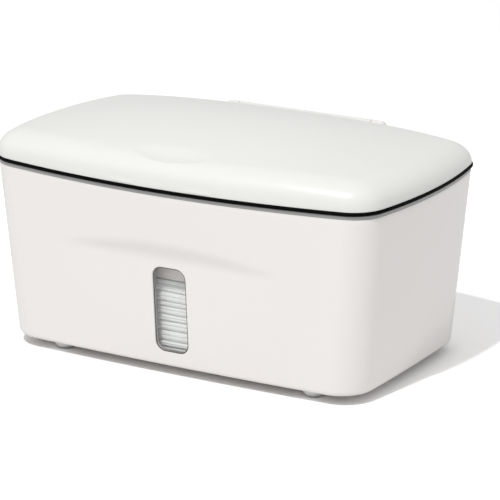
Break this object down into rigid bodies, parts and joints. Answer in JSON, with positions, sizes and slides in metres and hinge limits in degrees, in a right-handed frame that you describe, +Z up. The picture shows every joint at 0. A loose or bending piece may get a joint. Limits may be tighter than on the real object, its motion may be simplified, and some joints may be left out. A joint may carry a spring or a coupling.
{
  "type": "countertop wipes dispenser",
  "caption": "White tapered countertop box for folded wet wipes, with a domed push-to-open lid, a clear front window and a weighted dispensing plate inside.",
  "frame": {"origin": "middle of the whole footprint, hinge included, on the surface that the feet stand on", "axes": "+Z up, +X along the long side to the right as seen from the front, front and window towards -Y"},
  "size_m": [0.2416, 0.1562, 0.1264],
  "materials": {
    "white_plastic": "satin moulded ABS",
    "white_frame": "satin moulded",
    "grey_band": "satin moulded",
    "black_seal": "silicone rubber",
    "clear_window": "clear polycarbonate",
    "pale_rubber": "translucent soft rubber",
    "plate_plastic": "satin moulded, warm pale",
    "lips_rubber": "soft silicone",
    "steel": "stainless steel",
    "spring_steel": "drawn stainless wire",
    "magnet": "nickel plated",
    "latch_plastic": "moulded acetal",
    "wipes": "damp non-woven cloth"
  },
  "bodies": {
    "base": {"tub_shell": "white_plastic", "window_lens": "clear_window", "window_gasket": "lips_rubber", "foot_front_left": "pale_rubber", "foot_front_right": "pale_rubber", "foot_rear_left": "pale_rubber", "foot_rear_right": "pale_rubber", "rim_ring": "grey_band", "rim_frame": "white_frame", "hinge_pin": "steel", "hinge_spring_left": "spring_steel", "hinge_spring_right": "spring_steel", "latch_housing": "latch_plastic", "latch_screws": "steel", "latch_spring": "spring_steel", "latch_cam_pin": "spring_steel", "wipe_stack": "wipes"},
    "lid": {"lid_cover": "white_plastic", "lid_liner": "white_frame", "lid_gasket": "black_seal", "lid_screws": "steel", "strike_plate": "steel", "strike_screw": "steel"},
    "latch": {"latch_plunger": "latch_plastic", "latch_magnet": "magnet"},
    "plate": {"plate_base": "plate_plastic", "plate_cover": "plate_plastic", "plate_weight": "steel", "dispensing_lips": "lips_rubber", "plate_screws": "steel"}
  },
  "joints": [
    {"name": "lid_hinge", "type": "hinge", "parent": "base", "child": "lid", "pos_m": [0, 0.07415, 0.1099], "axis": [-1, 0, 0], "range_deg": [0, 100]},
    {"name": "latch_slide", "type": "slide", "parent": "base", "child": "latch", "axis": [0, 0, 1], "range_m": [0, 0.004], "deforming": ["latch_spring"]},
    {"name": "plate_slide", "type": "slide", "parent": "base", "child": "plate", "axis": [0, 0, 1], "range_m": [-0.0407, 0], "deforming": ["wipe_stack"]}
  ],
  "couplings": [
    {"joint": "latch_slide", "follows": "lid_hinge", "m_per_rad": 0.0022918}
  ]
}
